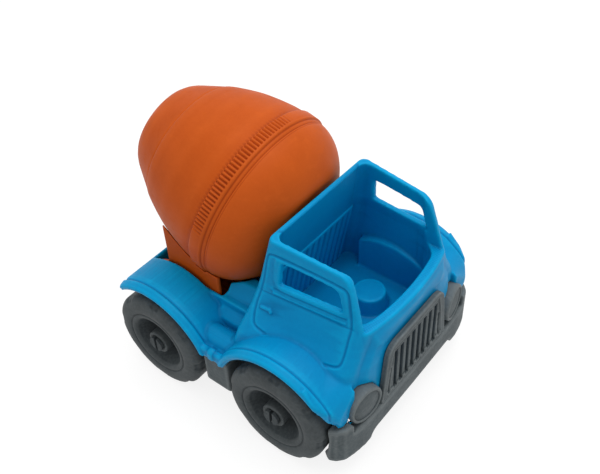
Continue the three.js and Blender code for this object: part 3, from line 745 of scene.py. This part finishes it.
# Painted shade for the seams, grooves and flutes, worked out again on the thinned skin.
_, groove_shade = body_relief(from_frame(points_of(body.data)), normals_of(body.data))
put_attribute(body.data, "line", groove_shade)
fit(body, "body", blue_plastic)

# %% [markdown]
# ## Chassis, cradle and grille
# These three are remoulded the same way, with a skin fine enough for their
# thinnest edges. The cradle is orange and tips with the drum. The grille is
# small, so its skin can be finer, and it keeps its slots crisp.

# %% Chassis
chassis = remoulded("truck_chassis", "chassis", 0.8, 6)
thinned(chassis)
fit(chassis, "chassis", grey_plastic)

# %% Cradle
cradle = remoulded("mixer_cradle", "drum_cradle", 0.6, 4)
fit(cradle, "drum_cradle", orange_plastic)

# %% Grille with its slim end slots
GRILLE_OUTLINE = [(-37.5, 38), (37.5, 38), (33.4, 68), (29.5, 83.5), (-29.5, 83.5), (-33.4, 68)]
END_SLOT = np.array([(29.6, 42), (28, 62)])
SLOTS_HALF, SLOTS_BOTTOM = 25.5, 40


def grille_relief(points, normals):
    """Slots widen, the field of bars sinks inside the frame, and a slim slot is pressed in at each end; the
    slots take painted shade.
    """
    x, y, z = points.T
    flat = np.stack([y, z], -1)
    front = normals[:, 0] > 0.55
    inside = distance_to(GRILLE_OUTLINE, flat, closed=True)
    lift = -0.8 * ease(inside, 4.4, 5.4) * front
    in_slots = np.abs(y) < SLOTS_HALF
    slot_walls = (np.abs(normals[:, 1]) > 0.6) & in_slots & (z > SLOTS_BOTTOM + 0.5) & (z < 75) & (x > 146)
    lift -= 0.5 * slot_walls
    to_slot = distance_to(END_SLOT, np.stack([np.abs(y), z], -1))
    lift -= 1.8 * fade(to_slot, 0.7, 1.5) * front
    # Painted shade inside the slots and the slim end slots.
    deep = fade(x, 147.4, 148.6) * in_slots * (z > SLOTS_BOTTOM) * (z < 76)
    return lift, np.maximum(deep, fade(to_slot, 0.7, 1.3))


grille = remoulded("front_grille", "grille", 0.42, 3)
pressed, shade = grille_relief(from_frame(points_of(grille.data)), normals_of(grille.data))
put_attribute(grille.data, "line", shade)
lift_skin(grille.data, pressed)
fit(grille, "grille", grey_plastic)

# %% [markdown]
# ## Surfaces turned about an axis
# The drum, wheels and lamps are all turned. A profile gives radius and
# distance along the axis for each row, and an angle gives each column. Before
# the grid is placed, its radius can be changed by place, which is how ribs and
# notches are cut without any boolean.

# %% Turning


def turned(name, profile, axis, centre, columns, loop=False, carve=None):
    """Row (r, w) at angle a lies at centre + w * axis + r * (cos a * side + sin a * up).

    carve takes r, w and a, and returns what is added to r and to w.
    """
    profile = np.array(profile, float)
    axis = np.array(axis, float) / np.linalg.norm(axis)
    side = np.array([0, 1, 0.0]) if abs(axis[1]) < 0.5 else np.array([1.0, 0, 0])
    side = side - axis * (side @ axis)
    side /= np.linalg.norm(side)
    up = np.cross(side, axis)
    up = up * (1 if up[2] >= 0 else -1)
    angle = np.linspace(0, 2 * math.pi, columns, endpoint=False)[None, :]
    r = profile[:, :1] + 0 * angle
    w = profile[:, 1:] + 0 * angle
    if carve:
        dr, dw = carve(r, w, angle)
        r, w = r + dr, w + dw
    around = np.cos(angle)[..., None] * side + np.sin(angle)[..., None] * up
    grid = np.array(centre) + w[..., None] * axis + r[..., None] * around
    return new_object(name, mesh_from_grid(name, to_frame(grid), loop))


# %% [markdown]
# ## The mixing drum
# The drum is two shells: a round bulb in front and a long taper behind, joined
# under a belt. Its taper is a smooth curve through measured radii. The belt
# has fine comb-like ribs on two opposite sides, which fade out at their ends,
# and there are creases where the mould's halves met.

# %% Drum sizes
TILT = math.radians(17.2)
DRUM_AXIS = (-math.cos(TILT), 0, math.sin(TILT))
DRUM_CENTRE = (31.4, 0, 121.5)
BULB, BULB_DEPTH, CAP = 59.4, 40.0, 32.0
BELT, BELT_WIDTH = 60.6, 9.0
MOUTH, MOUTH_RADIUS, WALL = 84.0, 28.5, 2.6
TAPER_IN = [0, 0.8, 2.7, 5.1, 8.7, 12.2, 16.8, 21.4, 24.8, 27.8, BULB - MOUTH_RADIUS]
TAPER_SHORT = [MOUTH - BELT_WIDTH, 66, 56, 46, 36, 28, 20, 12, 6, 2, 0]
REAR_CREASE, FRONT_CREASES = 59.3, (-4.3, -2.9)


def softened(values, rounds=4):
    """A curve whose inner points move to a quarter, half, quarter mean of three neighbours."""
    values = np.array(values, float)
    for _ in range(rounds):
        values[1:-1] = (values[:-2] + 2 * values[1:-1] + values[2:]) / 4
    return values


def on_bulb(turn, radius=BULB):
    """Rows on the bulb's ellipse: radius times the cosine, and its depth times minus the sine."""
    return np.stack([radius * np.cos(turn), -BULB_DEPTH * np.sin(turn)], -1)


print("the drum leans", round(math.degrees(TILT), 1), "degrees")

# %% Drum profile
taper_w = np.linspace(BELT_WIDTH + 0.3, MOUTH - 1.2, 29)
taper_w = np.sort(np.concatenate([taper_w, REAR_CREASE + np.array([-0.7, -0.3, 0, 0.3, 0.7])]))
dense_w = np.linspace(BELT_WIDTH, MOUTH, 200)
dense_r = softened(BULB - np.interp(MOUTH - dense_w, TAPER_SHORT[::-1], TAPER_IN[::-1]), 60)
taper_r = np.interp(taper_w, dense_w, dense_r)
swell = 0.25 * (taper_w < REAR_CREASE) * ease(taper_w, 50, 59)
taper_r = taper_r - 0.35 * bell(taper_w - REAR_CREASE, 0.35) + swell

bulb = on_bulb(np.linspace(math.asin((CAP - 1.2) / BULB_DEPTH), math.asin(5.2 / BULB_DEPTH), 15))
crease_w = np.array([-4.7, -4.3, -3.9, -3.5, -3.1, -2.7, -2.3, -1.4])
crease_r = BULB * np.sqrt(1 - (crease_w / BULB_DEPTH) ** 2)
for crease, depth, width in zip(FRONT_CREASES, (0.3, 0.75), (0.3, 0.5)):
    crease_r = crease_r - depth * bell(crease_w - crease, width)
cap_radius = BULB * math.cos(math.asin(CAP / BULB_DEPTH))
pin = [[4.2, -CAP - 4.6], [4.9, -CAP - 4.1], [5, -CAP - 0.6], [5.7, -CAP], [18, -CAP],
       [cap_radius - 1.4, -CAP], [cap_radius - 0.2, -CAP + 0.4]]
belt = [[BULB, -0.7], [BULB + 0.2, -0.25], [BELT - 0.3, 0.05], [BELT, 0.5], [BELT, 1.4], [BELT, 1.8],
        [BELT, 2.2], [BELT, 2.8], [BELT, 5.6], [BELT - 0.1, 8.2], [BELT - 0.4, 8.8], [BULB + 0.1, 9.05]]
lip = [[MOUTH_RADIUS + 0.1, MOUTH - 0.5], [MOUTH_RADIUS - 0.7, MOUTH], [MOUTH_RADIUS - 1.6, MOUTH],
       [MOUTH_RADIUS - WALL, MOUTH - 0.6]]
inner_w = np.linspace(MOUTH - 4, BELT_WIDTH, 9)
inner = np.stack([np.interp(inner_w, dense_w, dense_r) - WALL, inner_w], -1)
inner_bulb = on_bulb(np.linspace(0, math.asin(0.72), 6), BULB - WALL)
back_of_cap = [[cap_radius - 3, -CAP + WALL], [6, -CAP + WALL]]
front_rows = [pin, bulb, np.stack([crease_r, crease_w], -1), belt]
rear_rows = [np.stack([taper_r, taper_w], -1), lip, inner, inner_bulb, back_of_cap]
drum_profile = np.concatenate(front_rows + rear_rows)
print("drum profile rows:", len(drum_profile))

# %% [markdown]
# ## Comb-like ribs on the belt
# On the real drum two patches of fine ribs run across the belt, like gear
# teeth for little fingers. Cutting each slot with a boolean is slow and leaves
# ragged edges. The grid has seven columns to each rib and slot instead, and a
# wave of the angle pushes every other stretch inwards.

# %% Drum ribs
RIB_PITCH, RIB_SPAN, RIB_MIDDLES = 2.5, 48.5, (123.5, 303.5)
RIB_DEPTH, DRUM_COLUMNS = 1.25, 1008
outer_rows = (np.arange(len(drum_profile)) < sum(map(len, front_rows)))[:, None]


def rib_slots(r, w, angle):
    """Slots sink the belt's rear part: a clipped cosine of the angle, inside two patches with soft ends."""
    turn = np.degrees(angle)
    change = 0 * r
    for centre in RIB_MIDDLES:
        off = (turn - centre + 180) % 360 - 180
        patch = fade(np.abs(off), RIB_SPAN - 9, RIB_SPAN)
        slot = ease(np.cos(2 * math.pi * off / RIB_PITCH), -0.35, 0.55)
        change = change - RIB_DEPTH * patch * slot * between(w, 1.6, 2.5, 9.0, 9.06)
    return change * outer_rows, 0 * w


drum = turned("mixing_drum", drum_profile, DRUM_AXIS, DRUM_CENTRE, DRUM_COLUMNS, carve=rib_slots)
fit(drum, "drum", orange_plastic)

# %% [markdown]
# ## Wheels
# A wheel is one hollow moulding: a plain tread, a rounded shoulder pressed
# with a ring of shallow notches, and a deep dish with the axle's hub. The
# profile is a closed loop round the bore, so the turned surface is a ring
# with no ends to close.

# %% Wheels
wheel_low, wheel_high = size_of("wheel_front_right")
TYRE = (wheel_high[2] - wheel_low[2]) / 2
TYRE_WIDTH = wheel_high[1] - wheel_low[1]
SHOULDER, NOTCHES, WHEEL_COLUMNS = 5.0, 8, 360
NOTCH_IN, NOTCH_BACK = 0.9, 0.3


def wheel_profile():
    """Rows of (radius, depth behind the outer face): bore, hub, dish, face, shoulder, tread, back."""
    hub = [[5.1, 2.1], [5.4, 1.6], [7.6, 1.5], [8.15, 1.8], [8.2, 2.6], [8.3, 12], [8.8, 12.8], [9.6, 13],
           [11.2, 13], [12, 12.7], [12.6, 12]]
    wall_depth = np.linspace(10.4, 2.6, 7)
    wall = np.stack([12.6 + (19.6 - 12.6) * ((12 - wall_depth) / 9.6) ** 0.85, wall_depth], -1)
    mouth = [[19.9, 1.9], [20.5, 1.15], [21.3, 0.75], [22.3, 0.55], [23.2, 0.6], [23.7, 0.85], [24.2, 0.75],
             [25, 0.35], [27, 0.12], [29.3, 0.15]]
    sweep = np.linspace(0.12, math.pi / 2, 12)
    across, along = TYRE - SHOULDER + SHOULDER * np.sin(sweep), 0.8 + SHOULDER - SHOULDER * np.cos(sweep)
    shoulder = np.stack([across, along], -1)
    tread = [[TYRE, 8], [TYRE, 10.5], [TYRE, 14], [TYRE, 18], [TYRE, 22.5], [TYRE - 0.4, 24.2],
             [TYRE - 1.6, 26], [TYRE - 2.8, 27.4], [TYRE - 3.6, TYRE_WIDTH]]
    back = [[26, TYRE_WIDTH], [15, TYRE_WIDTH], [6, TYRE_WIDTH], [5.1, TYRE_WIDTH - 0.6], [5.1, 15]]
    return np.concatenate([hub, wall, mouth, shoulder, tread, back])


def notch(r, w, angle):
    """The top of a cosine picks a stretch in each eighth of a turn; the shoulder sinks in and back there."""
    pick = ease(np.cos(NOTCHES * angle + 0.6), 0.3, 0.98)
    band = ease(r, TYRE - 4.6, TYRE - 1.2) * fade(w, 6.5, 9.5)
    return -NOTCH_IN * pick * band, NOTCH_BACK * pick * band


for end in ("rear", "front"):
    for hand, side in (("left", 1), ("right", -1)):
        node = f"wheel_{end}_{hand}"
        low, high = size_of(node)
        face = high[1] if side > 0 else low[1]
        hub_centre = ((low[0] + high[0]) / 2, face, (low[2] + high[2]) / 2)
        inwards = (0, -side, 0)
        name = node.replace("wheel", "tyre")
        wheel = turned(name, wheel_profile(), inwards, hub_centre, WHEEL_COLUMNS, loop=True, carve=notch)
        fit(wheel, node, tyre_plastic)

# %% [markdown]
# ## Headlights
# The lamps are solid grey discs: a rim stands round a low dome. They look a
# little outwards, following the nose, so their axis is turned nine degrees
# from straight ahead.

# %% Headlights
LAMP_YAW, LAMP_COLUMNS = math.radians(9), 180


def lamp_profile(radius, length):
    """Rows of (radius, distance ahead of the back): a plain barrel, a rounded rim, then a low dome."""
    rim = [[radius - 0.4, 0], [radius, 0.4], [radius, length - 3], [radius, length - 1.4],
           [radius - 0.25, length - 0.7], [radius - 0.8, length - 0.25], [radius - 1.5, length - 0.15],
           [radius - 2, length - 0.5], [radius - 2.3, length - 1.0], [radius - 2.7, length - 1.05]]
    spread = np.linspace(radius - 3.1, 0.6, 10)
    dome = np.stack([spread, length - 0.95 + 0.95 * (1 - (spread / (radius - 3.1)) ** 2)], -1)
    return np.concatenate([[[2, 0]], rim, dome])


for hand, side in (("left", 1), ("right", -1)):
    low, high = size_of(f"headlight_{hand}")
    length = high[0] - low[0]
    back = (low[0] + 0.2, (low[1] + high[1]) / 2 - side * 1.2, (low[2] + high[2]) / 2)
    radius = (high[2] - low[2]) / 2
    look = (math.cos(LAMP_YAW), side * math.sin(LAMP_YAW), 0)
    lamp = turned(f"lamp_{hand}", lamp_profile(radius, length - 1.4), look, back, LAMP_COLUMNS)
    fit(lamp, f"headlight_{hand}", grey_plastic)

# %% [markdown]
# ## Axles
# The axles' split heads show in the hubs. Their CAD shape is right, so the
# nodes stay and only take the tyres' dark plastic.

# %% Axles keep their shape
for node in ("rear_axle", "front_axle"):
    carried = frame["nodes"][node]
    carried.data.materials.clear()
    carried.data.materials.append(tyre_plastic)
    print(node, "keeps its CAD shape in", tyre_plastic.name)

# %% [markdown]
# ## Floor, light and world
# A pale floor and one big soft lamp show plastic best: the lamp's broad highlight describes each curve, and
# the white surroundings fill the shade.
# The floor is lifted to white only where it is seen, so it doesn't throw more
# light at the truck, and it keeps the truck's shadow.

# %% Floor
FLOOR_HALF, FLOOR_GREY, GLOW, GLOW_SHARE = 4.0, 0.62, 1.34, 0.62


def seen_rays(recipe):
    """1 for a camera, glossy or clear ray, which shows the surroundings; 0 for a ray that only lights."""
    seen = recipe.node("ShaderNodeLightPath", out="Is Camera Ray")
    for ray in ("Is Glossy Ray", "Is Transmission Ray"):
        seen = seen.above(recipe.node("ShaderNodeLightPath", out=ray))
    return seen


corners = [(-FLOOR_HALF, -FLOOR_HALF, 0), (FLOOR_HALF, -FLOOR_HALF, 0), (FLOOR_HALF, FLOOR_HALF, 0),
           (-FLOOR_HALF, FLOOR_HALF, 0)]
floor_mesh = bpy.data.meshes.new("floor")
floor_mesh.from_pydata(corners, [], [(0, 1, 2, 3)])
floor = new_object("floor", floor_mesh)
pale = Recipe(bpy.data.materials.new("pale_floor"))
pale.tree.nodes.clear()
matt = pale.node("ShaderNodeBsdfDiffuse", values={"Color": (FLOOR_GREY, FLOOR_GREY, FLOOR_GREY, 1)})
glow = pale.node("ShaderNodeEmission", values={"Color": (1, 1, 1, 1), "Strength": GLOW})
both = pale.node("ShaderNodeMixShader", values={0: seen_rays(pale) * GLOW_SHARE, 1: matt, 2: glow})
pale.node("ShaderNodeOutputMaterial", values={"Surface": both})
floor_mesh.materials.append(pale.owner)
print("floor", 2 * FLOOR_HALF, "m across")

# %% World
AMBIENT = 0.68
world = bpy.data.worlds.new("white_room")
bpy.context.scene.world = world
room = Recipe(world)
room.tree.nodes.clear()
strength = AMBIENT + (1 - AMBIENT) * seen_rays(room)
sky = room.node("ShaderNodeBackground", values={"Color": (1, 1, 1, 1), "Strength": strength})
room.node("ShaderNodeOutputWorld", values={"Surface": sky})
print("the room lights at", AMBIENT, "and shows at 1")

# %% Lamp over the truck
LAMP_POWER, LAMP_SIZE, LAMP_PLACE, LAMP_AIM = 5.6, 0.9, (0.1, 0.15, 1.05), (0, 0, 0.08)
lamp_data = bpy.data.lights.new("soft_box", "AREA")
lamp_data.shape = "RECTANGLE"
lamp_data.size, lamp_data.size_y = LAMP_SIZE, LAMP_SIZE
lamp_data.energy = LAMP_POWER
soft_box = bpy.data.objects.new("soft_box", lamp_data)
bpy.context.scene.collection.objects.link(soft_box)
soft_box.location = LAMP_PLACE
soft_box.rotation_mode = "QUATERNION"
soft_box.rotation_quaternion = (Vector(LAMP_AIM) - soft_box.location).to_track_quat("-Z", "Y")
bpy.context.scene.view_settings.view_transform = "Standard"
print("soft box", LAMP_POWER, "W at", LAMP_PLACE)

# %% [markdown]
# ## Camera
# The truck is seen from above its front right corner, from about sixty
# centimetres. The camera's three directions are worked out from its compass
# angle, its height angle and a small roll.

# %% Camera
AZIMUTH, ELEVATION, ROLL = -0.87324, 0.73227, -0.0537
DISTANCE, LOOK_AT, LENS = 603.9, (15.42, 52.84, 40), 47.82
flat = math.cos(ELEVATION)
back = np.array([flat * math.cos(AZIMUTH), flat * math.sin(AZIMUTH), math.sin(ELEVATION)])
level = np.cross(-back, [0, 0, 1])
level /= np.linalg.norm(level)
upright = np.cross(level, -back)
right = math.cos(ROLL) * level + math.sin(ROLL) * upright
up = -math.sin(ROLL) * level + math.cos(ROLL) * upright
camera_data = bpy.data.cameras.new("camera")
camera_data.lens, camera_data.sensor_width = LENS, 36
camera_data.clip_start, camera_data.clip_end = 0.01, 50
camera = bpy.data.objects.new("camera", camera_data)
bpy.context.scene.collection.objects.link(camera)
stand = to_frame(np.array(LOOK_AT) + DISTANCE * back)
turn = np.eye(4)
turn[:3, 0], turn[:3, 1], turn[:3, 2], turn[:3, 3] = right, up, back, stand
camera.matrix_world = Matrix(turn.tolist())
bpy.context.scene.camera = camera
print("camera at", np.round(stand, 3))
